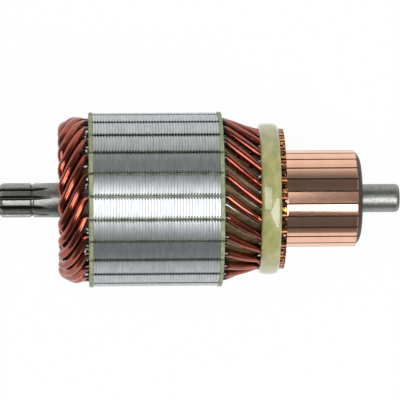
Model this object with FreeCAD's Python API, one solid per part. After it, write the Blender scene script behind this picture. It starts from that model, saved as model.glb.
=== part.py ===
import FreeCAD, Part
import math
import os

from FreeCAD import Vector

# Motor armature of a small starter motor, in millimetres and degrees.
# The shaft's axis is X and the commutator is towards +X, with +Z up.
# The origin is on the axis, at the middle of the lamination stack.
# Angles round the axis start at +Z and grow towards -Y.

# Winding scheme: a lap winding of hairpins, one hairpin to each slot and one bar to each slot
slot_count = 24
coil_span_slots = 5
slot_phase = -2.0
bar_phase = -1.1

# Core
core_d = 61.2
core_length = 44.0
slot_lip = 1.6
slot_opening = 1.1

# End plates of the core
plate_thickness = 1.4
plate_rim = 0.25
plate_corner = 0.5
plate_bore_gap = 0.2

# Wire, its insulation and the gaps between them
wire_d = 2.9
wire_bend_radius = 1.9
wire_gap = 0.03
liner_thickness = 0.2
liner_gap = 0.02
layer_gap = 0.6
liner_past_plate_drive = 0.1
liner_past_plate_commutator = 0.1

# End turns at the drive end: the gap between strands side by side, and the loop at the nose
strand_gap = 0.12
nose_eye = 0.2
nose_rise = -1.0
nose_twist = 16.0
nose_corners = 4
slant_runs = 3
slant_swell = 1.2

# End turns at the commutator end: they fall to the risers, run level under the band and end straight
end_bend_clearance = 0.1
fall_runs = 3
level_runs = 2
level_before_band = 0.3
end_straight = 1.0
wire_end_inset = 0.03
band_wires_gap = 0.12

# Paper between the two layers of end turns
layer_paper = 0.2
paper_end_gap = 0.1
paper_sag = 0.06
paper_short_of_loops = 0.8

# Binding band
band_width = 7.0
band_height = 1.83
band_edge = 0.35
band_to_riser = 0.2

# Shaft
shaft_d = 12.2
core_seat_d = 13.0
drive_seat_length = 13.2
tooth_zone_length = 18.1
drive_end_round = 1.5
ring_groove_from_seat = 5.9
ring_groove_width = 1.4
ring_groove_depth = 0.5
ring_groove_wall = 0.5
journal_d = 10.0
journal_length = 13.9
journal_end_round = 1.6
centre_hole_d = 3.0
centre_hole_angle = 60.0

# Gear teeth cut in the drive end
tooth_count = 11
teeth_d = 12.1
tooth_depth = 1.95
space_at_tip = 1.86
space_at_root = 0.8
flank_bulge = 0.12
tooth_cutter_radius = 16.0
cutter_sweep = 50.0
tooth_phase = 8.3

# Commutator
commutator_gap = 20.1
commutator_d = 34.1
brush_length = 25.5
riser_thickness = 1.7
riser_top_d = 49.6
riser_slot_gap = 0.05
riser_foot_radius = 0.8
bar_depth = 5.45
bar_slit = 0.6
bar_end_chamfer = 0.4
slit_undercut = 0.7
hook_shoulder = 1.9
hook_neck = 2.9
hook_inset = 1.7
hook_reach = 0.8
hub_wall = 1.9
hub_inset = 0.6
moulding_back_inset = 0.7
moulding_dome = 1.8
moulding_dome_d = 24.8
moulding_bulge = 0.35
moulding_bore_gap = 0.2

# Radii and places that follow from the sizes above
AXIS = Vector(1, 0, 0)
ORIGIN = Vector(0, 0, 0)
slot_pitch = 360.0 / slot_count
shaft_r = shaft_d / 2
core_seat_r = core_seat_d / 2
core_r = core_d / 2
wire_r = wire_d / 2
slot_half_width = wire_r + wire_gap + liner_thickness + liner_gap
layer_pitch = wire_d + layer_gap
outer_layer_r = core_r - slot_lip - slot_half_width
inner_layer_r = outer_layer_r - layer_pitch
plate_face = core_length / 2 + plate_thickness
liner_drive_end = -(plate_face + liner_past_plate_drive)
liner_commutator_end = plate_face + liner_past_plate_commutator
coil_span = coil_span_slots * slot_pitch

brush_r = commutator_d / 2
riser_top_r = riser_top_d / 2
riser_outer_wire_r = riser_top_r - wire_r
riser_inner_wire_r = riser_outer_wire_r - layer_pitch
riser_back = plate_face + commutator_gap
riser_front = riser_back + riser_thickness
bar_end = riser_front + brush_length
moulding_end = bar_end + moulding_dome
journal_end = moulding_end + journal_length
hub_r = shaft_r + hub_wall

tooth_runout_end = -(plate_face + drive_seat_length)
drive_end = tooth_runout_end - tooth_zone_length
ring_groove_front = tooth_runout_end - ring_groove_from_seat

band_back = riser_back - band_to_riser
band_front = band_back - band_width
band_bore_r = riser_top_r + band_wires_gap
level_x = band_front - level_before_band

# Each leg's turn round the shaft from its slot to its riser, and where the legs begin to turn and fall
bar_turn = (coil_span_slots - 1) / 2 * slot_pitch + bar_phase - slot_phase
turn_end = riser_back - end_straight
turn_slope = math.atan(math.radians(bar_turn) * outer_layer_r / (turn_end - plate_face))
turn_start = liner_commutator_end + end_bend_clearance + wire_bend_radius * math.tan(turn_slope / 2)

# The drive end's strands slope so that they pass each other with the gap, and each nose is half a turn
nose_outer_r = outer_layer_r + nose_rise
loop_r = wire_r + nose_eye
nose_middle_r = nose_outer_r - loop_r
nose_inner_r = nose_outer_r - 2 * loop_r
corner_step = 180.0 / nose_corners
corner_r = loop_r / math.cos(math.radians(corner_step / 2))
nose_twist_rate = nose_twist / 180.0
slant_twist = (coil_span - nose_twist) / 2 + nose_twist_rate * corner_step / 2
strand_slope = math.acos((wire_d + strand_gap) / (math.radians(slot_pitch) * nose_outer_r))
slant_length = math.radians(slant_twist) * nose_outer_r / math.tan(strand_slope)
slant_start = liner_drive_end - wire_bend_radius * math.tan(strand_slope / 2)
slant_end = slant_start - slant_length
nose_middle_x = slant_end + corner_r * math.sin(math.radians(corner_step / 2))


def at(x, radius, angle):
    """A point at x along the shaft, at a radius and an angle round it."""
    turn = math.radians(angle)
    return Vector(x, -radius * math.sin(turn), radius * math.cos(turn))


def turned(shape, angle):
    """A copy of the shape, turned round the shaft."""
    copy = shape.copy()
    copy.rotate(ORIGIN, AXIS, angle)
    return copy


def pattern(shape, count, phase):
    """Copies of the shape, evenly round the shaft."""
    return [turned(shape, phase + 360.0 * i / count) for i in range(count)]


def arc(start, middle, end):
    return Part.Arc(start, middle, end).toShape()


def line(start, end):
    return Part.LineSegment(start, end).toShape()


def up(x, radius):
    """A point of an outline in the plane through the axis."""
    return Vector(x, 0, radius)


def runs(*points):
    """Straight edges from each point to the next."""
    return [line(start, end) for start, end in zip(points, points[1:])]


def revolved(edges, angle=360):
    """The closed outline turned round the shaft."""
    return Part.Face(Part.Wire(edges)).revolve(ORIGIN, AXIS, angle)


def round_corner(centre, radius, x_side):
    """Middle of the quarter arc that rounds an outer corner on the -X or +X side."""
    slant = radius * math.sqrt(0.5)
    return centre + Vector(x_side * slant, 0, slant)


def tube(x_start, x_end, inner_r, outer_r):
    corners = [up(x_start, inner_r), up(x_end, inner_r), up(x_end, outer_r), up(x_start, outer_r)]
    return revolved(runs(*corners, corners[0]))


def block(x_start, x_end, width, bottom_r, top_r):
    """A box that is centred on the plane Y = 0 and reaches from one radius to another."""
    corner = Vector(x_start, -width / 2, bottom_r)
    return Part.makeBox(x_end - x_start, width, top_r - bottom_r, corner)


# Slots: an oval of two round ends, one round each layer of wire, with a narrow opening to the rim

def oval_bar(x_start, x_end, half_width):
    """A bar of the slot's oval section."""
    length = x_end - x_start
    lower = up(x_start, inner_layer_r)
    upper = up(x_start, outer_layer_r)
    side = Vector(0, half_width, 0)
    rise = Vector(0, 0, half_width)
    edges = [
        arc(lower + side, lower - rise, lower - side),
        line(lower - side, upper - side),
        arc(upper - side, upper + rise, upper + side),
        line(upper + side, lower + side),
    ]
    return Part.Face(Part.Wire(edges)).extrude(Vector(length, 0, 0))


def cut_slots(shape, x_start, x_end):
    """The shape with the slots cut through between two places on the shaft."""
    margin = 1.0
    oval = oval_bar(x_start - margin, x_end + margin, slot_half_width)
    opening = block(x_start - margin, x_end + margin, slot_opening, outer_layer_r, core_r + plate_rim + margin)
    slot = oval.fuse(opening)
    return shape.cut(Part.makeCompound(pattern(slot, slot_count, slot_phase)))


def lamination_stack():
    half = core_length / 2
    return cut_slots(tube(-half, half, core_seat_r, core_r), -half, half)


def end_plate(side):
    """Insulating plate on one end of the core, with a rounded outer corner; side is -1 or +1."""
    inner_x = side * core_length / 2
    outer_x = side * plate_face
    bore_r = core_seat_r + plate_bore_gap
    rim_r = core_r + plate_rim
    centre = up(outer_x - side * plate_corner, rim_r - plate_corner)
    face_end = up(outer_x, centre.z)
    rim_start = up(centre.x, rim_r)
    outline = runs(rim_start, up(inner_x, rim_r), up(inner_x, bore_r), up(outer_x, bore_r), face_end)
    outline.append(arc(face_end, round_corner(centre, plate_corner, side), rim_start))
    return cut_slots(revolved(outline), min(inner_x, outer_x), max(inner_x, outer_x))


def slot_liners():
    """One folded paper liner to each slot, with a round channel for each layer of wire."""
    length = liner_commutator_end - liner_drive_end
    liner = oval_bar(liner_drive_end, liner_commutator_end, slot_half_width - liner_gap)
    for radius in (inner_layer_r, outer_layer_r):
        liner = liner.cut(Part.makeCylinder(wire_r + wire_gap, length, up(liner_drive_end, radius), AXIS))
    return Part.makeCompound(pattern(liner, slot_count, slot_phase))


# Winding: each hairpin follows straight runs joined by tangent arcs

def corner_tangent(before, corner, after, sharp):
    """How far the arc at a corner reaches along its two runs."""
    shorter = min((corner - before).Length, (after - corner).Length)
    widest = 0.45 * shorter
    if not sharp:
        return widest
    turn = (corner - before).getAngle(after - corner)
    return min(widest, wire_bend_radius * math.tan(turn / 2))


def wire_along(points, sharp_corners):
    """Round wire along the points; the corners in sharp_corners get the tight bend radius."""
    edges = []
    last = points[0]
    for i in range(1, len(points) - 1):
        corner = points[i]
        back = points[i - 1] - corner
        ahead = points[i + 1] - corner
        back.normalize()
        ahead.normalize()
        reach = corner_tangent(points[i - 1], corner, points[i + 1], i in sharp_corners)
        start = corner + back * reach
        end = corner + ahead * reach
        half_turn = (math.pi - back.getAngle(ahead)) / 2
        radius = reach / math.tan(half_turn)
        inward = back + ahead
        inward.normalize()
        middle = corner + inward * (radius / math.cos(half_turn) - radius)
        edges.append(line(last, start))
        edges.append(arc(start, middle, end))
        last = end
    edges.append(line(last, points[-1]))
    section = Part.makeCircle(wire_r, points[0], points[1] - points[0])
    return Part.Wire(edges).makePipe(Part.Face(Part.Wire(section)))


def between(start, end, share):
    return start + (end - start) * share


def commutator_side(slot_r, riser_r, slot_angle, riser_angle):
    """Corners of one leg from its riser to the core."""

    def angle_at(x):
        return between(slot_angle, riser_angle, (x - turn_start) / (turn_end - turn_start))

    corners = [at(riser_front - wire_end_inset, riser_r, riser_angle)]
    for i in range(level_runs):
        x = between(turn_end, level_x, i / level_runs)
        corners.append(at(x, riser_r, angle_at(x)))
    for i in range(fall_runs + 1):
        x = between(level_x, turn_start, i / fall_runs)
        corners.append(at(x, between(riser_r, slot_r, i / fall_runs), angle_at(x)))
    return corners


def drive_side():
    """Corners of a hairpin at the drive end, from the outer leg round the nose to the inner leg."""
    outer = [at(slant_start, outer_layer_r, 0)]
    inner = [at(slant_start, inner_layer_r, coil_span)]
    for i in range(1, slant_runs):
        share = i / slant_runs
        x = between(slant_start, slant_end, share)
        outer_r = between(outer_layer_r, nose_outer_r, share) + slant_swell
        inner_r = between(inner_layer_r, nose_inner_r, share)
        outer.append(at(x, outer_r, slant_twist * share))
        inner.append(at(x, inner_r, coil_span - slant_twist * share))
    nose = []
    for i in range(nose_corners):
        around = corner_step * (i + 0.5)
        x = nose_middle_x - corner_r * math.sin(math.radians(around))
        radius = nose_middle_r + corner_r * math.cos(math.radians(around))
        nose.append(at(x, radius, coil_span / 2 + nose_twist_rate * (around - 90.0)))
    return outer + nose + inner[::-1]


def hairpin():
    """The hairpin whose outer leg lies at angle 0."""
    outer = commutator_side(outer_layer_r, riser_outer_wire_r, 0, bar_turn)
    inner = commutator_side(inner_layer_r, riser_inner_wire_r, coil_span, bar_turn + slot_pitch)
    middle = drive_side()
    points = outer + middle + inner[::-1]
    outer_bend = len(outer) - 1
    inner_bend = len(outer) + len(middle)
    sharp = {1, outer_bend, outer_bend + 1, inner_bend - 1, inner_bend, len(points) - 2}
    return wire_along(points, sharp)


def paper_round_shaft(middle):
    """Paper that follows places and radii; it lies below the middle, as straight wires sag between corners."""
    half = layer_paper / 2
    outside = [up(x, radius - paper_sag + half) for x, radius in middle]
    inside = [up(x, radius - paper_sag - half) for x, radius in middle]
    return revolved(runs(*outside, *inside[::-1], outside[0]))


def layer_insulation_drive_end():
    """Paper cone between the layers, from the liners to the loops of the noses."""
    slot_r = (outer_layer_r + inner_layer_r) / 2
    x_start = slant_end + paper_short_of_loops
    x_end = liner_drive_end - paper_end_gap
    start_r = between(nose_middle_r, slot_r, paper_short_of_loops / slant_length)
    return paper_round_shaft([(x_start, start_r), (slant_start, slot_r), (x_end, slot_r)])


def layer_insulation_commutator_end():
    """Paper cone between the layers, from the liners to the risers, level under the band."""
    slot_r = (outer_layer_r + inner_layer_r) / 2
    riser_r = (riser_outer_wire_r + riser_inner_wire_r) / 2
    x_start = liner_commutator_end + paper_end_gap
    x_end = riser_back - paper_end_gap
    return paper_round_shaft([(x_start, slot_r), (turn_start, slot_r), (level_x, riser_r), (x_end, riser_r)])


def binding_band():
    """Bead of glass tape and resin, steeper on the core's side than on the risers' side."""

    def bead(along, across):
        return up(band_front + along * band_width, band_bore_r + across * band_height)

    wall_top = up(band_front, band_bore_r + band_edge)
    core_shoulder = bead(0.18, 0.9)
    crown = bead(0.52, 1.0)
    riser_shoulder = bead(0.86, 0.87)
    foot = bead(1.0, 0.0)
    outline = runs(foot, bead(0.0, 0.0), wall_top)
    outline.append(arc(wall_top, bead(0.05, 0.6), core_shoulder))
    outline.append(arc(core_shoulder, crown, riser_shoulder))
    outline.append(arc(riser_shoulder, bead(0.96, 0.55), foot))
    return revolved(outline)


# Commutator

def bar_outline():
    """Outline of a bar with its riser, and a hook at each end for the moulding to grip."""
    inner_r = brush_r - bar_depth
    neck_r = brush_r - hook_neck
    shoulder_r = brush_r - hook_shoulder
    back_hook = riser_front + hook_reach / 2
    front_hook = bar_end - hook_reach
    foot_top = up(riser_front, brush_r + riser_foot_radius)
    foot_end = up(riser_front + riser_foot_radius, brush_r)
    foot_centre = up(foot_end.x, foot_top.z)
    slant = riser_foot_radius * math.sqrt(0.5)
    outline = [arc(foot_top, foot_centre + Vector(-slant, 0, -slant), foot_end)]
    return outline + runs(
        foot_end,
        up(bar_end - bar_end_chamfer, brush_r),
        up(bar_end, brush_r - bar_end_chamfer),
        up(bar_end, shoulder_r),
        up(bar_end - hook_inset, neck_r),
        up(front_hook, inner_r + hook_reach),
        up(front_hook, inner_r),
        up(back_hook, inner_r),
        up(back_hook, inner_r + hook_reach),
        up(riser_front + hook_inset, neck_r),
        up(riser_back, shoulder_r),
        up(riser_back, riser_top_r),
        up(riser_front, riser_top_r),
        foot_top,
    )


def commutator_bar():
    """The bar at angle 0: a sector of the commutator between two parallel-sided slits."""
    margin = 1.0
    bar = turned(revolved(bar_outline(), slot_pitch), -slot_pitch / 2)
    slit = block(riser_back - margin, bar_end + margin, bar_slit, 0, riser_top_r + margin)
    for side in (-0.5, 0.5):
        bar = bar.cut(turned(slit, side * slot_pitch))
    channel_width = wire_d + 2 * riser_slot_gap
    channel = block(riser_back - margin, riser_front, channel_width, riser_inner_wire_r, riser_top_r + margin)
    floor_start = up(riser_back - margin, riser_inner_wire_r)
    floor = Part.makeCylinder(channel_width / 2, riser_thickness + margin, floor_start, AXIS)
    return bar.cut(channel.fuse(floor))


def commutator_moulding(bars):
    """Phenolic moulding round the hub, with a fin in each slit and a domed front."""
    back = riser_back + moulding_back_inset
    fin_r = brush_r - slit_undercut
    dome_r = moulding_dome_d / 2
    bore_r = shaft_r + moulding_bore_gap
    hub_end = moulding_end - hub_inset
    dome_start = up(bar_end, fin_r)
    dome_end = up(moulding_end, dome_r)
    dome_middle = (dome_start + dome_end) / 2 + up(moulding_bulge, moulding_bulge)
    outline = runs(up(back, fin_r), dome_start)
    outline.append(arc(dome_start, dome_middle, dome_end))
    outline = outline + runs(
        dome_end,
        up(moulding_end, bore_r),
        up(hub_end, bore_r),
        up(hub_end, hub_r),
        up(back, hub_r),
        up(back, fin_r),
    )
    return revolved(outline).cut(Part.makeCompound(bars))


def commutator_hub():
    return tube(riser_back + moulding_back_inset, moulding_end - hub_inset, shaft_r, hub_r)


# Shaft

def centre_hole(x_face, radius, direction):
    """Conical centre hole in one end of the shaft; direction points into the metal."""
    depth = radius / math.tan(math.radians(centre_hole_angle / 2))
    return Part.makeCone(radius, 0, depth, Vector(x_face, 0, 0), AXIS * direction)


def tooth_space():
    """Cutter for one tooth space: straight from the end, then running out on the cutter's radius."""
    margin = 1.0
    tip_r = teeth_d / 2
    root_r = tip_r - tooth_depth
    run_out = math.sqrt(tooth_cutter_radius ** 2 - (tooth_cutter_radius - tooth_depth) ** 2)
    x_straight = tooth_runout_end - run_out
    root = space_at_root / 2
    tip = space_at_tip / 2
    flank_foot_r = root_r + root / 2
    flank_middle = (root + tip) / 2 - flank_bulge
    flank_middle_r = (flank_foot_r + tip_r) / 2

    def corner(half_width, radius):
        return Vector(x_straight, half_width, radius)

    section = [arc(corner(-root, flank_foot_r), corner(0, root_r), corner(root, flank_foot_r))]
    section.append(arc(corner(root, flank_foot_r), corner(flank_middle, flank_middle_r), corner(tip, tip_r)))
    section = section + runs(
        corner(tip, tip_r),
        corner(tip, tip_r + margin),
        corner(-tip, tip_r + margin),
        corner(-tip, tip_r),
    )
    section.append(arc(corner(-tip, tip_r), corner(-flank_middle, flank_middle_r), corner(-root, flank_foot_r)))
    face = Part.Face(Part.Wire(section))
    straight = face.extrude(Vector(drive_end - margin - x_straight, 0, 0))
    pivot = up(x_straight, root_r + tooth_cutter_radius)
    return straight.fuse(face.revolve(pivot, Vector(0, -1, 0), cutter_sweep))


def shaft():
    """Turned shaft with its shoulders, groove, rounded ends and centre holes, then the teeth."""
    journal_r = journal_d / 2
    tip_r = teeth_d / 2
    groove_r = tip_r - ring_groove_depth
    groove_back = ring_groove_front - ring_groove_width
    drive_centre = up(drive_end + drive_end_round, tip_r - drive_end_round)
    drive_face = up(drive_end, drive_centre.z)
    drive_top = up(drive_centre.x, tip_r)
    journal_centre = up(journal_end - journal_end_round, journal_r - journal_end_round)
    journal_top = up(journal_centre.x, journal_r)
    journal_face = up(journal_end, journal_centre.z)
    outline = [arc(drive_face, round_corner(drive_centre, drive_end_round, -1), drive_top)]
    outline = outline + runs(
        drive_top,
        up(groove_back, tip_r),
        up(groove_back + ring_groove_wall, groove_r),
        up(ring_groove_front - ring_groove_wall, groove_r),
        up(ring_groove_front, tip_r),
        up(tooth_runout_end, tip_r),
        up(tooth_runout_end, shaft_r),
        up(-plate_face, shaft_r),
        up(-plate_face, core_seat_r),
        up(plate_face, core_seat_r),
        up(plate_face, shaft_r),
        up(moulding_end, shaft_r),
        up(moulding_end, journal_r),
        journal_top,
    )
    outline.append(arc(journal_top, round_corner(journal_centre, journal_end_round, 1), journal_face))
    outline = outline + runs(journal_face, up(journal_end, 0), up(drive_end, 0), drive_face)
    centre_r = centre_hole_d / 2
    body = revolved(outline)
    body = body.cut(centre_hole(drive_end, centre_r, 1))
    body = body.cut(centre_hole(journal_end, centre_r, -1))
    space_phase = tooth_phase + 180.0 / tooth_count
    return body.cut(Part.makeCompound(pattern(tooth_space(), tooth_count, space_phase)))


def build():
    bars = pattern(commutator_bar(), slot_count, bar_phase)
    parts = {
        "shaft": shaft(),
        "lamination_stack": lamination_stack(),
        "drive_end_plate": end_plate(-1),
        "commutator_end_plate": end_plate(1),
        "slot_liners": slot_liners(),
        "layer_insulation_drive_end": layer_insulation_drive_end(),
        "layer_insulation_commutator_end": layer_insulation_commutator_end(),
        "binding_band": binding_band(),
        "commutator_moulding": commutator_moulding(bars),
        "commutator_hub": commutator_hub(),
    }
    for number, coil in enumerate(pattern(hairpin(), slot_count, slot_phase), 1):
        parts[f"coil_{number:02d}"] = coil
    for number, bar in enumerate(bars, 1):
        parts[f"commutator_bar_{number:02d}"] = bar
    return parts


os.makedirs("parts", exist_ok=True)
for name, shape in build().items():
    shape.exportStep(f"parts/{name}.step")
    print(f"{name}: solids {len(shape.Solids)}, valid {shape.isValid()}, volume {shape.Volume:.2f}")
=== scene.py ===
# %% [markdown]
# # Motor armature, dressed for its picture
# This script takes the armature's exact solids and gives them the finishes of the real thing.
# The solids came out of a CAD program, so their places and sizes are right and stay as they are.
# What CAD leaves plain is modelled here: the core's sheets, the folded paper, resin and solder.
# The armature lies along X with its commutator towards +X, and all lengths are in metres.

import math
import random

import bpy
from mathutils import Matrix, Vector


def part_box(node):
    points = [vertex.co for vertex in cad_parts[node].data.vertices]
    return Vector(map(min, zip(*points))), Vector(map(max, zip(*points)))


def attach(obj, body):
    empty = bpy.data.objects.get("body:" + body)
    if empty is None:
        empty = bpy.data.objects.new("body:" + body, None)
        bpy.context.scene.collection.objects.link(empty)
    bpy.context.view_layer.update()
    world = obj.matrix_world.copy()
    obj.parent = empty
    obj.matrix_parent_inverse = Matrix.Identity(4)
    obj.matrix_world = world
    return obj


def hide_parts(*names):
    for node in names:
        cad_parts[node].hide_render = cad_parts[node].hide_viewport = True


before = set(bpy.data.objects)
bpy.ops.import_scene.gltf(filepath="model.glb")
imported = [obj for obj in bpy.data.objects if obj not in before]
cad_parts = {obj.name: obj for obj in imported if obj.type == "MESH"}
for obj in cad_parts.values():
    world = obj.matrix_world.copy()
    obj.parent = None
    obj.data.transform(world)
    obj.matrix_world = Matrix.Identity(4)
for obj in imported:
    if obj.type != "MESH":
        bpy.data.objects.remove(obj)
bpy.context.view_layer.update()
scene = bpy.context.scene
MM = 0.001
print("CAD nodes:", len(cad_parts))

# %% [markdown]
# ## Camera
# The photograph looks straight down on the armature from about a metre, through a long lens.
# A long lens has a small angle of view, so the shaft's two ends look nearly as big as its middle.
# The camera stands over the drive end and leans two degrees towards the commutator.
# It also turns a third of a degree, because the real camera wasn't quite level with the shaft.

# %% Camera
camera_x = -28.5 * MM
camera_height = 1073.5 * MM
camera_lean = math.radians(-2.37)
camera_turn = math.radians(-0.37)
bpy.ops.object.camera_add(
    location=(camera_x, 0.0, camera_height),
    rotation=(0.0, camera_lean, camera_turn),
)
camera = bpy.context.object
camera.name = "camera"
camera.data.lens = 273.6
camera.data.clip_start = 0.05
scene.camera = camera
print("lens", camera.data.lens, "mm")

# %% [markdown]
# ## Floor
# The armature lies on its two end plates, on a white table.
# The table could be lit until it burns out to white, but so much light would bleach the armature.
# Instead, its material glows white for rays from the camera, and for rays that come off metal or
# through clear varnish. A small share of it stays an ordinary white surface, and this share keeps
# the soft shadow under the core.
# A material is a tree of nodes, and three short helpers spare most of the typing in such trees.

# %% Helpers for nodes
def plug(tree, value, socket):
    """Link the value if it is an output of another node, or else set it as a constant."""
    if isinstance(value, bpy.types.NodeSocket):
        tree.links.new(value, socket)
    else:
        socket.default_value = value


def math_node(tree, operation, *values):
    """The output of a Math node that works on these values."""
    node = tree.nodes.new("ShaderNodeMath")
    node.operation = operation
    for socket, value in zip(node.inputs, values):
        plug(tree, value, socket)
    return node.outputs["Value"]


def mixed_shader(tree, share, first, second):
    """Two shaders mixed; a share of 0 is all the first one."""
    node = tree.nodes.new("ShaderNodeMixShader")
    for socket, value in zip(node.inputs, (share, first, second)):
        plug(tree, value, socket)
    return node.outputs["Shader"]


# %% Floor
plate_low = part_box("drive_end_plate")[0]
table_z = plate_low.z
bpy.ops.mesh.primitive_plane_add(size=6.0, location=(0.0, 0.0, table_z))
floor = bpy.context.object
floor.name = "floor"
print("floor at", round(table_z / MM, 2), "mm")

# %% White table
glow_share = 0.97
white_table = bpy.data.materials.new("white_table")
white_table.use_nodes = True
tree = white_table.node_tree
surface = tree.nodes["Principled BSDF"]
surface.inputs["Base Color"].default_value = (0.93, 0.93, 0.93, 1.0)
surface.inputs["Roughness"].default_value = 0.8
surface.inputs["Specular IOR Level"].default_value = 0.1
glow = tree.nodes.new("ShaderNodeEmission")
path = tree.nodes.new("ShaderNodeLightPath")
seen = math_node(tree, "MAXIMUM", path.outputs["Is Camera Ray"], path.outputs["Is Glossy Ray"])
seen = math_node(tree, "MAXIMUM", seen, path.outputs["Is Transmission Ray"])
share = math_node(tree, "MULTIPLY", seen, glow_share)
table_shader = mixed_shader(tree, share, surface.outputs["BSDF"], glow.outputs["Emission"])
tree.links.new(table_shader, tree.nodes["Material Output"].inputs["Surface"])
floor.data.materials.append(white_table)
print("share of the glow in the table:", glow_share)

# %% [markdown]
# ## Studio light
# A round bar shows its surroundings as stripes, so the stripes on metal tell where lamps hung.
# Here a large soft lamp hung over the near side of the commutator, and one over the drive end.
# Between the lamps and the horizon the room was dark, and it grew lighter towards the table.
# Two area lamps make the stripes, and a ramp of greys on the world makes the room.

# %% Lamps
def soft_box(name, centre, width, depth, radiance):
    """A flat lamp facing the origin; its width lies level and its depth slopes away from there."""
    bpy.ops.object.light_add(type="AREA", location=centre)
    lamp = bpy.context.object
    lamp.name = name
    lamp.rotation_mode = "QUATERNION"
    lamp.rotation_quaternion = Vector(centre).to_track_quat("Z", "Y")
    lamp.data.shape = "RECTANGLE"
    lamp.data.size = width
    lamp.data.size_y = depth
    lamp.data.energy = radiance * math.pi * width * depth
    print(name, round(lamp.data.energy, 2), "W")


soft_box("lamp_over_commutator", centre=(0.60, -0.58, 1.40), width=0.90, depth=0.95, radiance=5.0)
soft_box("lamp_over_drive_end", centre=(-0.48, 0.04, 1.55), width=1.00, depth=1.25, radiance=3.3)

# %% [markdown]
# ### The room
# The world is a picture of the room: a colour for each direction, read from a ramp by its height.
# A share of the direction's Y is taken off the height, which makes the far side a little lighter.
# The camera itself sees plain white there, as the photograph's background is.

# %% Room: greys by height
room_stops = [
    (0.0, (0.87, 0.87, 0.83)),
    (0.12, (0.48, 0.48, 0.46)),
    (0.35, (0.22, 0.22, 0.22)),
    (0.6, (0.12, 0.12, 0.125)),
    (1.0, (0.14, 0.14, 0.145)),
]
lean_to_far_side = -0.3

room = bpy.data.worlds.new("studio_room")
room.use_nodes = True
scene.world = room
tree = room.node_tree
direction = tree.nodes.new("ShaderNodeTexCoord")
parts = tree.nodes.new("ShaderNodeSeparateXYZ")
tree.links.new(direction.outputs["Generated"], parts.inputs["Vector"])
height = math_node(tree, "MULTIPLY_ADD", parts.outputs["Y"], lean_to_far_side, parts.outputs["Z"])

greys = tree.nodes.new("ShaderNodeValToRGB")
greys.color_ramp.interpolation = "EASE"
while len(greys.color_ramp.elements) < len(room_stops):
    greys.color_ramp.elements.new(0.5)
for element, (position, shade) in zip(greys.color_ramp.elements, room_stops):
    element.position = position
    element.color = (*shade, 1.0)
tree.links.new(height, greys.inputs["Fac"])
print("greys in the room:", len(room_stops))

# %% Room: what the camera and the metal see
seen_in_metal = tree.nodes["Background"]
tree.links.new(greys.outputs["Color"], seen_in_metal.inputs["Color"])
backdrop = tree.nodes.new("ShaderNodeBackground")
backdrop.inputs["Color"].default_value = (1.0, 1.0, 1.0, 1.0)
path = tree.nodes.new("ShaderNodeLightPath")
room_shader = mixed_shader(tree, path.outputs["Is Camera Ray"],
                           seen_in_metal.outputs["Background"], backdrop.outputs["Background"])
tree.links.new(room_shader, tree.nodes["World Output"].inputs["Surface"])
scene.view_settings.view_transform = "Standard"
print("world:", scene.world.name)

# %% [markdown]
# ## Shared effects
# Several finishes need the same two effects, so each effect is a node group that is built once.
# `mottle` mixes two colours with soft noise, as in paper, resin and oxidised metal.
# `along_x` is a soft mask from one place along the shaft to another.
# Both read the object's own coordinates, so a pattern stays on its piece when the camera moves.

# %% Helpers for groups
def new_group(name, inputs, outputs):
    """A node group with named sockets; inputs are (name, type, default), outputs (name, type)."""
    group = bpy.data.node_groups.new(name, "ShaderNodeTree")
    for socket, kind, default in inputs:
        made = group.interface.new_socket(name=socket, in_out="INPUT", socket_type=kind)
        if default is not None:
            made.default_value = default
    for socket, kind in outputs:
        group.interface.new_socket(name=socket, in_out="OUTPUT", socket_type=kind)
    return group, group.nodes.new("NodeGroupInput"), group.nodes.new("NodeGroupOutput")


def mixed_colour(tree, share, first, second):
    """Two colours mixed; a share of 0 is all the first one."""
    node = tree.nodes.new("ShaderNodeMix")
    node.data_type = "RGBA"
    # The node has sockets for each type of data: colours go into 6 and 7 and come out of 2.
    plug(tree, share, node.inputs["Factor"])
    plug(tree, first, node.inputs[6])
    plug(tree, second, node.inputs[7])
    return node.outputs[2]


# %% [markdown]
# ### Mottle
# Noise stays close to its middle value, so two colours mixed by it alone give a dull even blend.
# A Map Range spreads a short range of the noise over the whole way from dark to light, and the
# more contrast, the shorter that range. Stretch multiplies the coordinates, so a value below 1
# draws the clouds out in that direction.

# %% Mottle: the noise
mottle, group_in, group_out = new_group(
    "mottle",
    inputs=[
        ("Scale", "NodeSocketFloat", 300.0),
        ("Stretch", "NodeSocketVector", (1.0, 1.0, 1.0)),
        ("Light", "NodeSocketColor", None),
        ("Dark", "NodeSocketColor", None),
        ("Contrast", "NodeSocketFloat", 0.5),
    ],
    outputs=[("Color", "NodeSocketColor"), ("Mask", "NodeSocketFloat")],
)
place = mottle.nodes.new("ShaderNodeTexCoord")
stretched = mottle.nodes.new("ShaderNodeVectorMath")
stretched.operation = "MULTIPLY"
noise = mottle.nodes.new("ShaderNodeTexNoise")
noise.inputs["Detail"].default_value = 4.0
mottle.links.new(place.outputs["Object"], stretched.inputs[0])
mottle.links.new(group_in.outputs["Stretch"], stretched.inputs[1])
mottle.links.new(stretched.outputs["Vector"], noise.inputs["Vector"])
mottle.links.new(group_in.outputs["Scale"], noise.inputs["Scale"])
print("detail of the noise:", noise.inputs["Detail"].default_value)

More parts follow.
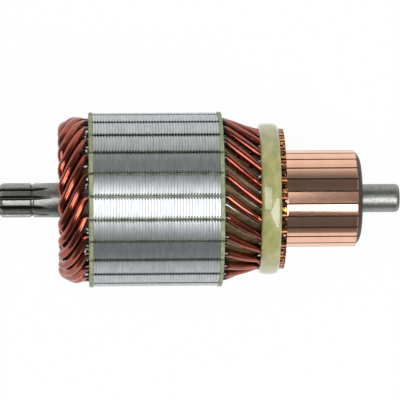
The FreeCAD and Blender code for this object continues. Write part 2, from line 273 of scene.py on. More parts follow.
# %% Mottle: from noise to colour
noise_middle = 0.5
widest_reach = 0.52
half_contrast = math_node(mottle, "MULTIPLY", group_in.outputs["Contrast"], 0.5)
reach = math_node(mottle, "SUBTRACT", widest_reach, half_contrast)
spread = mottle.nodes.new("ShaderNodeMapRange")
plug(mottle, noise.outputs["Fac"], spread.inputs["Value"])
plug(mottle, math_node(mottle, "SUBTRACT", noise_middle, reach), spread.inputs["From Min"])
plug(mottle, math_node(mottle, "ADD", noise_middle, reach), spread.inputs["From Max"])
mottle.links.new(spread.outputs["Result"], group_out.inputs["Mask"])
blend = mixed_colour(mottle, spread.outputs["Result"],
                     group_in.outputs["Dark"], group_in.outputs["Light"])
mottle.links.new(blend, group_out.inputs["Color"])
print("effect:", mottle.name)

# %% [markdown]
# ### A mask along the shaft
# Most things that change on an armature change along its shaft, such as where a wire is stripped.
# A Map Range turns the X coordinate into a mask that is 0 at From and 1 at To.
# Where From is the larger of the two, the mask is 1 towards -X.

# %% Mask along the shaft
along_x, group_in, group_out = new_group(
    "along_x",
    inputs=[("From", "NodeSocketFloat", 0.0), ("To", "NodeSocketFloat", 1.0)],
    outputs=[("Mask", "NodeSocketFloat")],
)
place = along_x.nodes.new("ShaderNodeTexCoord")
parts = along_x.nodes.new("ShaderNodeSeparateXYZ")
ramp = along_x.nodes.new("ShaderNodeMapRange")
ramp.interpolation_type = "SMOOTHSTEP"
along_x.links.new(place.outputs["Object"], parts.inputs["Vector"])
along_x.links.new(parts.outputs["X"], ramp.inputs["Value"])
along_x.links.new(group_in.outputs["From"], ramp.inputs["From Min"])
along_x.links.new(group_in.outputs["To"], ramp.inputs["From Max"])
along_x.links.new(ramp.outputs["Result"], group_out.inputs["Mask"])
print("effect:", along_x.name)

# %% [markdown]
# ## Helpers for finishes
# Each finish is one Principled shader with its own gloss, and the groups bring the colours to it.
# These helpers make the material, place a group in it and give it to the pieces that wear it.

# %% Helpers for finishes
def finish(name, roughness, metallic=0.0, coat=0.0, coat_roughness=0.03):
    """A new material with its constant values; gives the material, its tree and its shader."""
    made = bpy.data.materials.new(name)
    made.use_nodes = True
    shader = made.node_tree.nodes["Principled BSDF"]
    shader.inputs["Roughness"].default_value = roughness
    shader.inputs["Metallic"].default_value = metallic
    shader.inputs["Coat Weight"].default_value = coat
    shader.inputs["Coat Roughness"].default_value = coat_roughness
    return made, made.node_tree, shader


def placed_group(tree, group, **values):
    """The group as a node in the tree, with these values at its inputs."""
    node = tree.nodes.new("ShaderNodeGroup")
    node.node_tree = group
    for socket, value in values.items():
        node.inputs[socket].default_value = value
    return node


def mask_along_x(tree, start, end):
    """A mask that is 0 at start and 1 at end, both on the X axis."""
    return placed_group(tree, along_x, From=start, To=end).outputs["Mask"]


def mottled(tree, light, dark, scale, contrast=0.5, stretch=(1.0, 1.0, 1.0)):
    """A mottled colour as an output."""
    node = placed_group(tree, mottle, Scale=scale, Contrast=contrast, Stretch=stretch,
                        Light=(*light, 1.0), Dark=(*dark, 1.0))
    return node.outputs["Color"]


def raised(tree, shader, height, distance, strength):
    """Bump on the shader from a height; distance is the depth in metres."""
    bump = tree.nodes.new("ShaderNodeBump")
    bump.inputs["Distance"].default_value = distance
    bump.inputs["Strength"].default_value = strength
    tree.links.new(height, bump.inputs["Height"])
    tree.links.new(bump.outputs["Normal"], shader.inputs["Normal"])


def paint(piece, material):
    """The material in place of whatever the piece had."""
    piece.data.materials.clear()
    piece.data.materials.append(material)


def dress(material, *names):
    """Paint these CAD nodes."""
    for name in names:
        paint(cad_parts[name], material)
    print(material.name, "on", len(names), "CAD nodes")


# %% [markdown]
# ## Helpers for modelling
# Blender's operators act on whatever is selected, as the keys and menus do.
# So each helper first selects just the piece that it works on, and deletes a cutter after its cut.
# A piece that repeats is modelled once, on top of the shaft, and then copied round or along it.

# %% Helpers for selecting
def unselect_all():
    """Nothing selected, in object mode."""
    if bpy.context.object and bpy.context.object.mode != "OBJECT":
        bpy.ops.object.mode_set(mode="OBJECT")
    bpy.ops.object.select_all(action="DESELECT")


def only(piece):
    """This piece alone selected and active."""
    unselect_all()
    piece.select_set(True)
    bpy.context.view_layer.objects.active = piece


def edit_all(piece):
    """Edit mode with the whole piece selected."""
    only(piece)
    bpy.ops.object.mode_set(mode="EDIT")
    bpy.ops.mesh.select_all(action="SELECT")


def edit_vertices(piece, wanted):
    """Edit mode with only the wanted vertices selected; wanted is a test on a vertex's place."""
    only(piece)
    bpy.ops.object.mode_set(mode="EDIT")
    bpy.ops.mesh.select_mode(type="VERT")
    bpy.ops.mesh.select_all(action="DESELECT")
    bpy.ops.object.mode_set(mode="OBJECT")
    for vertex in piece.data.vertices:
        vertex.select = bool(wanted(vertex.co))
    bpy.ops.object.mode_set(mode="EDIT")


# %% Helpers for shaping
def apply_place(piece):
    """The piece's place and turn go into its mesh."""
    only(piece)
    bpy.ops.object.transform_apply(location=True, rotation=True, scale=True)


def cut_away(piece, cutter):
    """Boolean difference, applied; the cutter is removed."""
    only(piece)
    modifier = piece.modifiers.new("cut", "BOOLEAN")
    modifier.operation = "DIFFERENCE"
    modifier.solver = "EXACT"
    modifier.object = cutter
    bpy.ops.object.modifier_apply(modifier=modifier.name)
    bpy.data.objects.remove(cutter)


def thicken(piece, thickness, offset):
    """Make a bent sheet a closed wall: outwards with an offset of 1, inwards with -1."""
    only(piece)
    wall = piece.modifiers.new("paper", "SOLIDIFY")
    wall.thickness = thickness
    wall.offset = offset
    bpy.ops.object.modifier_apply(modifier=wall.name)


# %% Helpers for copying
def copy_of(piece, move):
    """A copy with its own mesh, moved by the matrix."""
    twin = piece.copy()
    twin.data = piece.data.copy()
    twin.data.transform(move)
    scene.collection.objects.link(twin)
    return twin


def turned_about_shaft(degrees):
    """The matrix of a turn about the X axis; a positive angle turns the top towards -Y."""
    return Matrix.Rotation(math.radians(degrees), 4, "X")


def joined(pieces, name):
    """All the pieces as one mesh with that name."""
    unselect_all()
    for piece in pieces:
        piece.select_set(True)
    bpy.context.view_layer.objects.active = pieces[0]
    bpy.ops.object.join()
    pieces[0].name = name
    pieces[0].data.name = name
    return pieces[0]


def round_the_shaft(piece, count, phase, name):
    """Copies evenly round the X axis, joined into one mesh; the first one is used up."""
    ring = [copy_of(piece, turned_about_shaft(phase + 360.0 * i / count)) for i in range(count)]
    bpy.data.objects.remove(piece)
    return joined(ring, name)


def triangles(piece):
    """How many triangles the piece has."""
    return sum(len(face.vertices) - 2 for face in piece.data.polygons)


# %% [markdown]
# ## The core's sheets
# A core isn't one block: it is a pack of thin steel sheets, stamped with slots and then pressed on.
# Stamping rounds each sheet's rim slightly, so the pack shows fine lines all the way round.
# A bump texture would give the lines, but not the saw-toothed edges of the slots.
# So the sheets are real: one is cut from a disc with slot-shaped cutters and copied along X.

# %% One sheet: the disc
core_low, core_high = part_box("lamination_stack")
core_r = core_high.z
sheet_count = 44
sheet_pitch = (core_high.x - core_low.x) / sheet_count
sheet_x = core_low.x + sheet_pitch / 2
slot_count = 24
rim_points_to_slot = 6
across_shaft = (0.0, math.pi / 2, 0.0)

unselect_all()
bpy.ops.mesh.primitive_cylinder_add(
    vertices=slot_count * rim_points_to_slot, radius=core_r, depth=sheet_pitch,
    location=(sheet_x, 0.0, 0.0), rotation=across_shaft,
)
sheet = bpy.context.object
apply_place(sheet)
rim = sheet.modifiers.new("rounded_rim", "BEVEL")
rim.width = 0.12 * MM
rim.segments = 1
rim.limit_method = "ANGLE"
rim.angle_limit = math.radians(60)
bpy.ops.object.modifier_apply(modifier=rim.name)
print("sheet", round(sheet_pitch / MM, 3), "mm thick, radius", round(core_r / MM, 2), "mm")

# %% One sheet: the bore
bore_r = 6.5 * MM
cutter_depth = 4 * sheet_pitch

unselect_all()
bpy.ops.mesh.primitive_cylinder_add(
    vertices=72, radius=bore_r, depth=cutter_depth,
    location=(sheet_x, 0.0, 0.0), rotation=across_shaft,
)
bore = bpy.context.object
apply_place(bore)
cut_away(sheet, bore)
print("bore", round(2 * bore_r / MM, 1), "mm")

# %% [markdown]
# ### Slots
# A slot holds two wires, one above the other, so its shape is a long round-ended hole.
# A 12-sided cylinder is the cutter: its upper half is pulled out to where the outer wire lies.
# It is turned by half a side first, so that no corner lies on the line where it is pulled apart.
# The nearest slot to the top lies two degrees to the far side, and its phase sets all the others.

# %% One sheet: slots
outer_layer_r = 27.3 * MM
inner_layer_r = 23.8 * MM
slot_half_width = 1.7 * MM
slot_phase = -2.0
cutter_sides = 12
half_side = math.pi / cutter_sides

unselect_all()
bpy.ops.mesh.primitive_cylinder_add(
    vertices=cutter_sides, radius=slot_half_width / math.cos(half_side), depth=cutter_depth,
    location=(sheet_x, 0.0, inner_layer_r), rotation=across_shaft,
)
oval = bpy.context.object
apply_place(oval)
edit_all(oval)
bpy.ops.transform.rotate(
    value=half_side, orient_axis="X", center_override=(sheet_x, 0.0, inner_layer_r),
)
edit_vertices(oval, lambda place: place.z > inner_layer_r)
bpy.ops.transform.translate(value=(0.0, 0.0, outer_layer_r - inner_layer_r))
bpy.ops.object.mode_set(mode="OBJECT")
cut_away(sheet, round_the_shaft(oval, slot_count, slot_phase, "oval_cutters"))
print("slots:", slot_count)

# %% [markdown]
# ### Slot openings
# Each slot opens through the rim by a gap narrower than the wire, so the wire can't fly out.
# The sheet's edge is a little ragged there, and in the pack this shows as a saw-toothed line.
# A second, wider cutter that goes through less than half of the thickness makes the tooth.

# %% One sheet: openings
lip_half_gap = 0.5 * MM
tooth_half_gap = 1.05 * MM
tooth_x = sheet_x + 0.3 * sheet_pitch
tooth_depth = 0.42 * sheet_pitch
past_rim_r = core_r + 1.0 * MM


def opening_box(half_gap, x_middle, length):
    """A box from the slot out past the rim, as wide as the slot's opening."""
    unselect_all()
    middle_r = (outer_layer_r + past_rim_r) / 2
    bpy.ops.mesh.primitive_cube_add(size=1.0, location=(x_middle, 0.0, middle_r))
    box = bpy.context.object
    box.scale = (length, 2 * half_gap, past_rim_r - outer_layer_r)
    apply_place(box)
    return box


opening = opening_box(lip_half_gap, sheet_x, cutter_depth)
cut_away(sheet, round_the_shaft(opening, slot_count, slot_phase, "opening_cutters"))
tooth = opening_box(tooth_half_gap, tooth_x, tooth_depth)
cut_away(sheet, round_the_shaft(tooth, slot_count, slot_phase, "tooth_cutters"))
print("one sheet:", triangles(sheet), "triangles")

# %% [markdown]
# ### The pack
# Pressed sheets never line up exactly, so each one is turned by up to a tenth of a degree.
# The turns are random, but they come from a fixed seed, so each run gives the same pack.

# %% The whole pack
sheet_slip = 0.1

shake = random.Random(7)
pack = []
for number in range(sheet_count):
    turn = turned_about_shaft(shake.uniform(-sheet_slip, sheet_slip))
    pack.append(copy_of(sheet, Matrix.Translation((number * sheet_pitch, 0.0, 0.0)) @ turn))
bpy.data.objects.remove(sheet)
core_sheets = joined(pack, "core_sheets")
only(core_sheets)
bpy.ops.object.shade_smooth_by_angle(angle=math.radians(25))
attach(core_sheets, "root")
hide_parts("lamination_stack")
print("core:", sheet_count, "sheets,", triangles(core_sheets), "triangles")

# %% [markdown]
# ### Core steel
# The finished core is turned to size, so its steel is bright, with faint streaks round the shaft.
# Noise with Stretch below 1 in Y and Z gives such streaks without a picture of brushed metal.

# %% Core steel
core_steel, tree, shader = finish("core_steel_turned", roughness=0.36, metallic=1.0)
steel_colour = mottled(tree, light=(0.60, 0.62, 0.63), dark=(0.44, 0.46, 0.47),
                       scale=900.0, stretch=(1.0, 0.25, 0.25))
tree.links.new(steel_colour, shader.inputs["Base Color"])
paint(core_sheets, core_steel)
print(core_steel.name, "on", core_sheets.name)

# %% [markdown]
# ## End plates and slot liners
# A stiff green fibre plate on each end of the core keeps the wires off the steel.
# Its fibre is matt with faint lighter clouds, so two close greens are mixed by soft noise.
# In the slots, varnished paper does the same work. It is darker, and the varnish is its coat.

# %% End plates
fibre, tree, shader = finish("plate_fibre_green", roughness=0.5)
fibre_colour = mottled(tree, light=(0.43, 0.46, 0.28), dark=(0.22, 0.25, 0.13),
                       scale=500.0, contrast=0.6)
tree.links.new(fibre_colour, shader.inputs["Base Color"])
dress(fibre, "drive_end_plate", "commutator_end_plate")

# %% Slot liners
liner_paper, tree, shader = finish("liner_paper", roughness=0.4, coat=0.6, coat_roughness=0.1)
liner_colour = mottled(tree, light=(0.34, 0.40, 0.28), dark=(0.10, 0.12, 0.07),
                       scale=500.0, contrast=0.6)
tree.links.new(liner_colour, shader.inputs["Base Color"])
dress(liner_paper, "slot_liners")

# %% [markdown]
# ## Paper cuffs at the drive end
# Each liner is folded over at its end, so a short stiff cuff stands out of the slot round the wire.
# The cuffs are painted near black: partly varnish that has run into them, partly painted shade in
# the gap by the plate.
# Their cut edges are pale: partly the paper's edge, partly a painted highlight line.
# A cuff is a bent tube: a circle is spun about the same upright line as the bend of its wire.
# The spin leaves the last ring selected, and a resize widens it, because the free end stands open.
# Solidify gives the paper its thickness, and two lengths are dealt out over the slots at random.

# %% One cuff
plate_face_x = plate_low.x
wire_bend_r = 1.9 * MM
cuff_r = 1.56 * MM
cuff_foot_x = plate_face_x + 0.2 * MM
cuff_neck = 0.3 * MM
cuff_end = (plate_face_x - 1.4 * MM, -0.6 * MM, outer_layer_r)
cuff_flare = 1.12


def bent_cuff(bend):
    """A cuff on the top slot, bent by so many degrees towards -Y."""
    unselect_all()
    bpy.ops.mesh.primitive_circle_add(
        vertices=20, radius=cuff_r, location=(cuff_foot_x, 0.0, outer_layer_r),
        rotation=across_shaft,
    )
    cuff = bpy.context.object
    apply_place(cuff)
    edit_all(cuff)
    bpy.ops.mesh.extrude_region_move(TRANSFORM_OT_translate={"value": (-cuff_neck, 0.0, 0.0)})
    bpy.ops.mesh.spin(
        steps=4, angle=math.radians(bend),
        center=(cuff_foot_x - cuff_neck, -wire_bend_r, outer_layer_r), axis=(0.0, 0.0, 1.0),
    )
    bpy.ops.transform.resize(value=(1.0, cuff_flare, cuff_flare), center_override=cuff_end)
    bpy.ops.mesh.select_all(action="SELECT")
    bpy.ops.mesh.normals_make_consistent(inside=False)
    bpy.ops.object.mode_set(mode="OBJECT")
    thicken(cuff, thickness=0.16 * MM, offset=1.0)
    reach = min(vertex.co.x for vertex in cuff.data.vertices)
    print("a cuff bent by", bend, "degrees reaches x", round(reach / MM, 2), "mm")
    return cuff


# %% All cuffs
pitch_angle = 360.0 / slot_count
cuff_slip = 0.5

shake = random.Random(21)
kinds = [bent_cuff(34.0), bent_cuff(46.0)]
ring = []
for number in range(slot_count):
    around = slot_phase + pitch_angle * number + shake.uniform(-cuff_slip, cuff_slip)
    ring.append(copy_of(shake.choice(kinds), turned_about_shaft(around)))
for kind in kinds:
    bpy.data.objects.remove(kind)
paper_cuffs = joined(ring, "paper_cuffs")
only(paper_cuffs)
bpy.ops.object.shade_smooth_by_angle(angle=math.radians(40))
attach(paper_cuffs, "root")
print("cuffs:", triangles(paper_cuffs), "triangles")

# %% Cuff paper: painted shade, with a painted highlight at the edge
# The pale edge is partly the paper's cut edge and partly a painted highlight line.
pale_from_x = plate_face_x - 0.95 * MM
pale_to_x = plate_face_x - 1.3 * MM
edge_and_highlight_colour = (0.70, 0.68, 0.58, 1.0)

cuff_paper, tree, shader = finish("cuff_paper", roughness=0.35, coat=1.0, coat_roughness=0.04)
# Near black: soaked paper, and painted shade of the gap by the plate.
soaked_and_painted_shade = mottled(tree, light=(0.16, 0.17, 0.09), dark=(0.03, 0.03, 0.02),
                 scale=900.0, contrast=0.8)
edge_and_highlight_mask = mask_along_x(tree, pale_from_x, pale_to_x)
paled = mixed_colour(tree, edge_and_highlight_mask, soaked_and_painted_shade, edge_and_highlight_colour)
tree.links.new(paled, shader.inputs["Base Color"])
paint(paper_cuffs, cuff_paper)
print(cuff_paper.name, "on", paper_cuffs.name)

# %% [markdown]
# ## Paper between the layers at the commutator end
# A strip of paper lies between the two layers of wire, and a fold of it stands up between wires.
# The folds follow the twist of the wires, and varnish makes their crests shine as thin white lines.
# The strip starts as a ring of points on the end plate, and the points of each fold are pulled out.
# The fold heights say how far, in millimetres, for each point from one wire to the next.
# Then the ring is extruded step by step, and each new ring is shrunk and turned about the shaft.

# %% Folded paper: the first ring
paper_low, paper_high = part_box("layer_insulation_commutator_end")
first_r = (outer_layer_r + inner_layer_r) / 2
points_to_pitch = 24
fold_heights = [0.0, 0.0, 0.0, 0.0, 0.2, 0.6, 1.0, 1.3, 1.42, 1.40, 1.33, 1.2,
                1.05, 0.9, 0.75, 0.6, 0.45, 0.32, 0.2, 0.1, 0.0, 0.0, 0.0, 0.0]

unselect_all()
bpy.ops.mesh.primitive_circle_add(
    vertices=slot_count * points_to_pitch, radius=first_r, location=(paper_low.x, 0.0, 0.0),
    rotation=(math.radians(slot_phase), math.pi / 2, 0.0),
)
folds = bpy.context.object
apply_place(folds)


def point_in_pitch(place, twist=0.0):
    """Where in its pitch a place lies, in points counted from the wire towards -Y."""
    around = math.degrees(math.atan2(-place.y, place.z)) - slot_phase - twist
    return (around / pitch_angle * points_to_pitch) % points_to_pitch


for step, rise in enumerate(fold_heights):
    if rise:
        edit_vertices(
            folds, lambda place: round(point_in_pitch(place)) % points_to_pitch == step)
        grown = 1.0 + rise * MM / first_r
        bpy.ops.transform.resize(
            value=(1.0, grown, grown), center_override=(paper_low.x, 0.0, 0.0))
        bpy.ops.object.mode_set(mode="OBJECT")
print("points in the first ring:", len(folds.data.vertices))

# %% [markdown]
# ### The run of the folds
# The paper leaves the end plate level, falls with the wires and ends level under the band.
# From their bend to the risers the wires turn steadily about the shaft, and so do the folds.
# With no window open, `transform.rotate` turns the other way, so its angle has a minus sign.

# %% Folded paper: the run
band_low_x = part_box("binding_band")[0].x
fall_start_x = 23.95 * MM
fall_end_x = band_low_x - 0.3 * MM
last_r = first_r - 4.2 * MM
twist_end_x = 42.5 * MM
twist_at_risers = 30.9
run_count = 10


def twist_at(x):
    """How far the wires have turned about the shaft at x, in degrees."""
    return twist_at_risers * max(0.0, (x - fall_start_x) / (twist_end_x - fall_start_x))


def radius_at(x):
    """The radius of the ring at x."""
    fallen = min(1.0, max(0.0, (x - fall_start_x) / (fall_end_x - fall_start_x)))
    return first_r + (last_r - first_r) * fallen


run_length = fall_end_x - paper_low.x
places = [paper_low.x + run_length * run / run_count for run in range(run_count + 1)]
places.append(paper_high.x)
edit_all(folds)
for before, x in zip(places, places[1:]):
    shrunk = radius_at(x) / radius_at(before)
    turn = math.radians(twist_at(x) - twist_at(before))
    centre = (x, 0.0, 0.0)
    bpy.ops.mesh.extrude_region_move(TRANSFORM_OT_translate={"value": (x - before, 0.0, 0.0)})
    bpy.ops.transform.resize(value=(1.0, shrunk, shrunk), center_override=centre)
    bpy.ops.transform.rotate(value=-turn, orient_axis="X", center_override=centre)
bpy.ops.mesh.select_all(action="SELECT")
bpy.ops.mesh.normals_make_consistent(inside=False)
bpy.ops.object.mode_set(mode="OBJECT")
thicken(folds, thickness=0.14 * MM, offset=-1.0)
bpy.ops.object.shade_smooth_by_angle(angle=math.radians(50))
folds.name = "layer_paper_folds"
folds.data.name = folds.name
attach(folds, "root")
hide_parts("layer_insulation_commutator_end")
print("folds:", triangles(folds), "triangles")

# %% [markdown]
# ### Layer paper
# The paper is brown and soaked, dull over most of its face and wet with varnish on the crests.
# A piece can wear two materials: each face has a material index, and the crests' faces get 1.
# The crests are found by their place in the pitch, with the twist at that place taken off.

# %% Layer paper
layer_paper, tree, shader = finish("layer_paper_varnished", roughness=0.5, coat=0.1,
                                   coat_roughness=0.1)
shader.inputs["Specular IOR Level"].default_value = 0.3
paper_colour = mottled(tree, light=(0.22, 0.145, 0.06), dark=(0.06, 0.04, 0.018),
                       scale=320.0, contrast=0.7, stretch=(0.4, 1.0, 1.0))
tree.links.new(paper_colour, shader.inputs["Base Color"])
grain = placed_group(tree, mottle, Scale=1500.0, Contrast=0.6)
raised(tree, shader, grain.outputs["Mask"], distance=0.03 * MM, strength=0.5)
dress(layer_paper, "layer_insulation_drive_end")
paint(folds, layer_paper)

# %% Wet crests of the folds
crest_start = 8.0
crest_end = 10.0

wet_paper, tree, shader = finish("layer_paper_wet", roughness=0.2, coat=1.0, coat_roughness=0.02)
shader.inputs["Coat IOR"].default_value = 2.6
wet_colour = mottled(tree, light=(0.23, 0.18, 0.10), dark=(0.07, 0.05, 0.025),
                     scale=700.0, contrast=0.7)
tree.links.new(wet_colour, shader.inputs["Base Color"])
folds.data.materials.append(wet_paper)
crest_faces = 0
for face in folds.data.polygons:
    if crest_start < point_in_pitch(face.center, twist_at(face.center.x)) < crest_end:
        face.material_index = 1
        crest_faces += 1
print("crest faces:", crest_faces)

# %% [markdown]
# ## Enamelled wire
# The wire is copper in a clear red enamel, so it reflects like metal under a hard glossy coat.
# The red is the coat's tint: near the wire's edges light crosses more of it and comes out darker.
# The bends beside the two end plates are painted nearly black: partly varnish that ran into them,
# partly painted shade, which also hides the highlight at each bend.
# At the risers the enamel is stripped, and brazing has left the bare copper brown and orange.
# All of it is one colour, mixed in turn from the enamel, the stripped ends and the painted shade of
# the bends.

# %% Enamelled wire: the red and the stripped ends
strip_start_x = 43.2 * MM
strip_end_x = 43.5 * MM

enamel, tree, shader = finish("wire_enamel", roughness=0.19, metallic=1.0, coat=1.0,
                              coat_roughness=0.02)
shader.inputs["Coat IOR"].default_value = 1.62
shader.inputs["Coat Tint"].default_value = (0.60, 0.18, 0.06, 1.0)
red = mottled(tree, light=(0.80, 0.36, 0.13), dark=(0.26, 0.09, 0.04), scale=220.0)
bare = mottled(tree, light=(1.0, 0.95, 0.80), dark=(0.25, 0.22, 0.18),
               scale=1400.0, contrast=0.85)
stripped = mask_along_x(tree, strip_start_x, strip_end_x)
red_or_bare = mixed_colour(tree, stripped, red, bare)
print("stripped from x", round(strip_start_x / MM, 1), "mm")

# %% Enamelled wire: painted shade in the bends
# Nearly black in the bends: varnish and painted shade.
varnish_and_painted_shade = (0.06, 0.03, 0.015, 1.0)

before_plate = mask_along_x(tree, start=plate_face_x - 1.8 * MM, end=plate_face_x - 0.6 * MM)
drive_half = mask_along_x(tree, start=0.0, end=-1.0 * MM)
drive_bend_shade = math_node(tree, "MULTIPLY", before_plate, drive_half)
from_plate = mask_along_x(tree, start=21.5 * MM, end=22.2 * MM)
till_slant = mask_along_x(tree, start=25.4 * MM, end=24.2 * MM)
commutator_bend_shade = math_node(tree, "MULTIPLY", from_plate, till_slant)
shade_in_either_bend = math_node(tree, "MAXIMUM", drive_bend_shade, commutator_bend_shade)
wire_colour = mixed_colour(tree, shade_in_either_bend, red_or_bare, varnish_and_painted_shade)
tree.links.new(wire_colour, shader.inputs["Base Color"])
dress(enamel, *[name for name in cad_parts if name.startswith("coil_")])

# %% [markdown]
# ## Drops of varnish and resin
# Varnish is dripped on the winding and gathers in drops, mostly by the end plate and the band.
# Their colour is near white, a painted glint, and they are very glossy, so each one shows as a
# white glint between the dark wires.
# A drop is a coarse ball, flattened by given amounts, and its copies get random sizes, turns and
# places.
# A turn is in radians here, so any turn at all is one between 0 and 6.28.

# %% One drop
unselect_all()
bpy.ops.mesh.primitive_ico_sphere_add(subdivisions=2, radius=1.0 * MM, location=(0.0, 0.0, 0.0))
drop = bpy.context.object
drop.scale = (1.0, 0.8, 0.6)
apply_place(drop)
any_turn = 6.28
shake = random.Random(5)
drops = []
print("a drop:", triangles(drop), "triangles")


def lay_drops(count, x_range, radius_range, size_range, phase, stray):
    """Drops between the wires: at phase in some pitch, give or take stray, both in degrees."""
    for _ in range(count):
        size = shake.uniform(*size_range)
        around = phase + pitch_angle * shake.randrange(slot_count) + shake.uniform(-stray, stray)
        spun = Matrix.Rotation(shake.uniform(0.0, any_turn), 4, "Z")
        lie = spun @ Matrix.Diagonal((size, size * shake.uniform(0.5, 1.0), size, 1.0))
        x = shake.uniform(*x_range)
        out = Matrix.Translation((x, 0.0, shake.uniform(*radius_range)))
        drops.append(copy_of(drop, turned_about_shaft(around) @ out @ lie))


# %% All drops
between_slots = slot_phase + pitch_angle / 2
between_wires_at_band = slot_phase + 27.6

lay_drops(
    count=110, x_range=(plate_face_x - 1.6 * MM, plate_face_x - 0.4 * MM),
    radius_range=(26.2 * MM, 28.4 * MM), size_range=(0.3, 0.75),
    phase=between_slots, stray=5.0,
)
lay_drops(
    count=48, x_range=(band_low_x - 0.5 * MM, band_low_x + 0.1 * MM),
    radius_range=(22.4 * MM, 24.7 * MM), size_range=(0.2, 0.6),
    phase=between_wires_at_band, stray=3.4,
)
lay_drops(
    count=24, x_range=(23.6 * MM, 24.6 * MM),
    radius_range=(25.6 * MM, 27.0 * MM), size_range=(0.15, 0.35),
    phase=between_slots, stray=4.0,
)
bpy.data.objects.remove(drop)
varnish_drops = joined(drops, "varnish_drops")
only(varnish_drops)
bpy.ops.object.shade_smooth()
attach(varnish_drops, "root")
print("drops:", triangles(varnish_drops), "triangles")

# %% Varnish drops: near white, as painted glints
clear, tree, shader = finish("varnish_painted_glint", roughness=0.12, coat=1.0, coat_roughness=0.02)
shader.inputs["IOR"].default_value = 1.6
shader.inputs["Coat IOR"].default_value = 2.0
# Near white: a painted glint on each drop.
painted_glint_colour = mottled(tree, light=(0.95, 0.95, 0.90), dark=(0.45, 0.45, 0.36),
                       scale=600.0, contrast=0.8)
tree.links.new(painted_glint_colour, shader.inputs["Base Color"])
paint(varnish_drops, clear)
print(clear.name, "on", varnish_drops.name)

# %% [markdown]
# ## Binding band
# The band is glass tape soaked in resin, cast into a smooth bead that holds the wires down.
# It is yellow-green, cloudy and as glossy as a sweet, and light goes a little way into it.
# The clouds are soft noise, and a low bump keeps the gloss from looking machined.

# %% Binding band
resin, tree, shader = finish("band_resin_cast", roughness=0.3, coat=1.0, coat_roughness=0.03)
shader.inputs["Coat IOR"].default_value = 1.58
shader.inputs["Subsurface Weight"].default_value = 0.25
shader.inputs["Subsurface Radius"].default_value = (0.0012, 0.0012, 0.0008)
shader.inputs["Subsurface Scale"].default_value = 1.0
resin_colour = mottled(tree, light=(0.52, 0.48, 0.205), dark=(0.29, 0.32, 0.10),
                       scale=190.0, contrast=0.7, stretch=(1.6, 1.0, 1.0))
tree.links.new(resin_colour, shader.inputs["Base Color"])
waves = placed_group(tree, mottle, Scale=110.0, Contrast=0.3)
raised(tree, shader, waves.outputs["Mask"], distance=0.25 * MM, strength=0.35)
dress(resin, "binding_band")

# %% [markdown]
# ## Commutator
# The bars are turned copper, so their running surface is bright and reflects the room as bands.
# The risers aren't turned: wires are brazed into their slots, which leaves them orange and brown.
# One material does both, and a mask along the shaft changes over at the foot of the risers.
# At the other end a second mask darkens the small chamfer: a painted shade, as the chamfer catches
# no light.

# %% Commutator copper: colours
bar_low, bar_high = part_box("commutator_bar_01")
turned_from_x = 46.0 * MM
brazed_to_x = 45.3 * MM
chamfer_painted_shade = (0.30, 0.17, 0.11, 1.0)

copper, tree, shader = finish("commutator_copper_turned", roughness=0.12, metallic=1.0)
turned = mottled(tree, light=(0.92, 0.56, 0.40), dark=(0.82, 0.47, 0.33),
                 scale=250.0, stretch=(1.0, 0.3, 0.3))
brazed = mottled(tree, light=(0.72, 0.34, 0.12), dark=(0.07, 0.03, 0.012),
                 scale=950.0, contrast=0.9)
on_riser = mask_along_x(tree, turned_from_x, brazed_to_x)
turned_or_brazed = mixed_colour(tree, on_riser, turned, brazed)
# The chamfer is painted dark: painted shade.
at_chamfer = mask_along_x(tree, start=bar_high.x - 0.5 * MM, end=bar_high.x - 0.3 * MM)
bar_colour = mixed_colour(tree, at_chamfer, turned_or_brazed, chamfer_painted_shade)
tree.links.new(bar_colour, shader.inputs["Base Color"])
print("brazed up to x", round(brazed_to_x / MM, 1), "mm")

# %% [markdown]
# ### Marks of the lathe
# A lathe tool leaves fine rings of uneven depth round the bars.
# Noise with one dimension, fed with the X coordinate alone, has the same value all round the shaft.
# As a very low bump it breaks up the reflections along the bars, and not across them.

# %% Commutator copper: rings
rings_to_metre = 9000.0

place = tree.nodes.new("ShaderNodeTexCoord")
parts = tree.nodes.new("ShaderNodeSeparateXYZ")
tree.links.new(place.outputs["Object"], parts.inputs["Vector"])
ring_marks = tree.nodes.new("ShaderNodeTexNoise")
ring_marks.noise_dimensions = "1D"
ring_marks.inputs["Scale"].default_value = 1.0
ring_marks.inputs["Detail"].default_value = 3.0
rings_passed = math_node(tree, "MULTIPLY", parts.outputs["X"], rings_to_metre)
tree.links.new(rings_passed, ring_marks.inputs["W"])
raised(tree, shader, ring_marks.outputs["Fac"], distance=0.01 * MM, strength=0.07)
dress(copper, *[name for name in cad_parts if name.startswith("commutator_bar_")])

# %% [markdown]
# ## Brazing lumps
# The brazing metal stands in small uneven lumps on the risers, where it ran out of the slots.
# Each riser gets three: one in its slot, over the wires, and a higher one on each side of that.
# They are copies of one coarse ball, flattened and sunk partly into the riser that carries them.
# Sizes and places are in millimetres, and steps and slips round the shaft are in degrees.

# %% Brazing lumps
riser_top_r = 24.8 * MM
bar_phase = -1.1
lump_step = 3.1
lump_slip = 0.9
lump_sink = 0.22 * MM
lump_flatness = 0.55
lump_sizes = (0.28, 0.62)
lump_stretches = (0.7, 1.3)
lump_places = (0.5, 1.3)

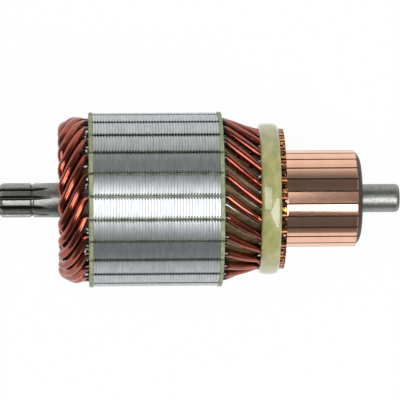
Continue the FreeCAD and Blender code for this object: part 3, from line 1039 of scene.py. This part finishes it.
unselect_all()
bpy.ops.mesh.primitive_ico_sphere_add(subdivisions=2, radius=1.0 * MM, location=(0.0, 0.0, 0.0))
lump = bpy.context.object
shake = random.Random(33)
lumps = []
for number in range(slot_count):
    for side in (-1, 0, 1):
        size = shake.uniform(*lump_sizes)
        long = size * shake.uniform(*lump_stretches)
        flattened = Matrix.Diagonal((long, size, size * lump_flatness, 1.0))
        slip = shake.uniform(-lump_slip, lump_slip)
        around = bar_phase + pitch_angle * number + side * lump_step + slip
        x = bar_low.x + shake.uniform(*lump_places) * MM
        out = Matrix.Translation((x, 0.0, riser_top_r - lump_sink * (2 - abs(side))))
        lumps.append(copy_of(lump, turned_about_shaft(around) @ out @ flattened))
bpy.data.objects.remove(lump)
brazing_lumps = joined(lumps, "brazing_lumps")
only(brazing_lumps)
bpy.ops.object.shade_smooth()
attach(brazing_lumps, "root")
print("lumps:", triangles(brazing_lumps), "triangles")

# %% Brazing metal
braze, tree, shader = finish("braze_alloy", roughness=0.3, metallic=1.0)
braze_colour = mottled(tree, light=(0.78, 0.46, 0.22), dark=(0.12, 0.06, 0.03),
                       scale=800.0, contrast=0.9)
tree.links.new(braze_colour, shader.inputs["Base Color"])
paint(brazing_lumps, braze)
print(braze.name, "on", brazing_lumps.name)

# %% [markdown]
# ## Moulding
# The bars are held by a moulding of dark brown phenolic, which shows at its end and in the slits.
# It is nearly black and satin, and a trace of mottle keeps it from looking like a hole.

# %% Moulding
phenolic, tree, shader = finish("phenolic_brown", roughness=0.5)
shader.inputs["Specular IOR Level"].default_value = 0.3
phenolic_colour = mottled(tree, light=(0.050, 0.034, 0.022), dark=(0.022, 0.016, 0.012),
                          scale=600.0)
tree.links.new(phenolic_colour, shader.inputs["Base Color"])
dress(phenolic, "commutator_moulding")

# %% [markdown]
# ## Shaft
# The shaft is ground steel, dull from handling, and the spaces between its teeth are painted near
# black.
# That is partly old grease and partly painted shade in the recesses; it goes by the distance from
# the axis, so it fills the spaces and spares the tips.
# The chamfers at the shaft's two ends are darkened too.
# Fine noise makes the small pits, and the same noise drives the roughness in place of a constant.

# %% Shaft: where it is painted dark
shaft_low, shaft_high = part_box("shaft")
clean_r = 5.75 * MM
greasy_r = 4.6 * MM
seat_x = -35.5 * MM
teeth_x = -37.5 * MM

steel, tree, shader = finish("shaft_steel_ground", roughness=0.37, metallic=1.0)
place = tree.nodes.new("ShaderNodeTexCoord")
across = tree.nodes.new("ShaderNodeVectorMath")
across.operation = "MULTIPLY"
across.inputs[1].default_value = (0.0, 1.0, 1.0)
from_axis = tree.nodes.new("ShaderNodeVectorMath")
from_axis.operation = "LENGTH"
deep = tree.nodes.new("ShaderNodeMapRange")
deep.inputs["From Min"].default_value = clean_r
deep.inputs["From Max"].default_value = greasy_r
tree.links.new(place.outputs["Object"], across.inputs[0])
tree.links.new(across.outputs["Vector"], from_axis.inputs[0])
tree.links.new(from_axis.outputs["Value"], deep.inputs["Value"])
# Tooth spaces near black: grease and painted shade.
grease_and_painted_shade = math_node(tree, "MULTIPLY", deep.outputs["Result"], mask_along_x(tree, seat_x, teeth_x))
# Both end chamfers darkened.
darkened_chamfers = math_node(
    tree, "MAXIMUM",
    mask_along_x(tree, start=shaft_high.x - 0.65 * MM, end=shaft_high.x - 0.35 * MM),
    mask_along_x(tree, start=shaft_low.x + 0.5 * MM, end=shaft_low.x + 0.2 * MM),
)
darkening = math_node(tree, "MAXIMUM", grease_and_painted_shade, darkened_chamfers)
print("grease below", round(2 * clean_r / MM, 1), "mm across")

# %% Shaft: colour, pits and roughness
darkening_colour = (0.06, 0.057, 0.05, 1.0)
smoothest = 0.28
roughest = 0.48

ground = mottled(tree, light=(0.40, 0.41, 0.39), dark=(0.22, 0.23, 0.21),
                 scale=1900.0, contrast=0.65, stretch=(0.7, 1.0, 1.0))
tree.links.new(mixed_colour(tree, darkening, ground, darkening_colour), shader.inputs["Base Color"])
pits = placed_group(tree, mottle, Scale=3200.0, Contrast=0.5)
handled = tree.nodes.new("ShaderNodeMapRange")
handled.inputs["To Min"].default_value = smoothest
handled.inputs["To Max"].default_value = roughest
tree.links.new(pits.outputs["Mask"], handled.inputs["Value"])
tree.links.new(handled.outputs["Result"], shader.inputs["Roughness"])
raised(tree, shader, pits.outputs["Mask"], distance=0.012 * MM, strength=0.6)
dress(steel, "shaft", "commutator_hub")

# %% [markdown]
# ## Finish
# At the end nothing is left selected.

# %% Finish
unselect_all()
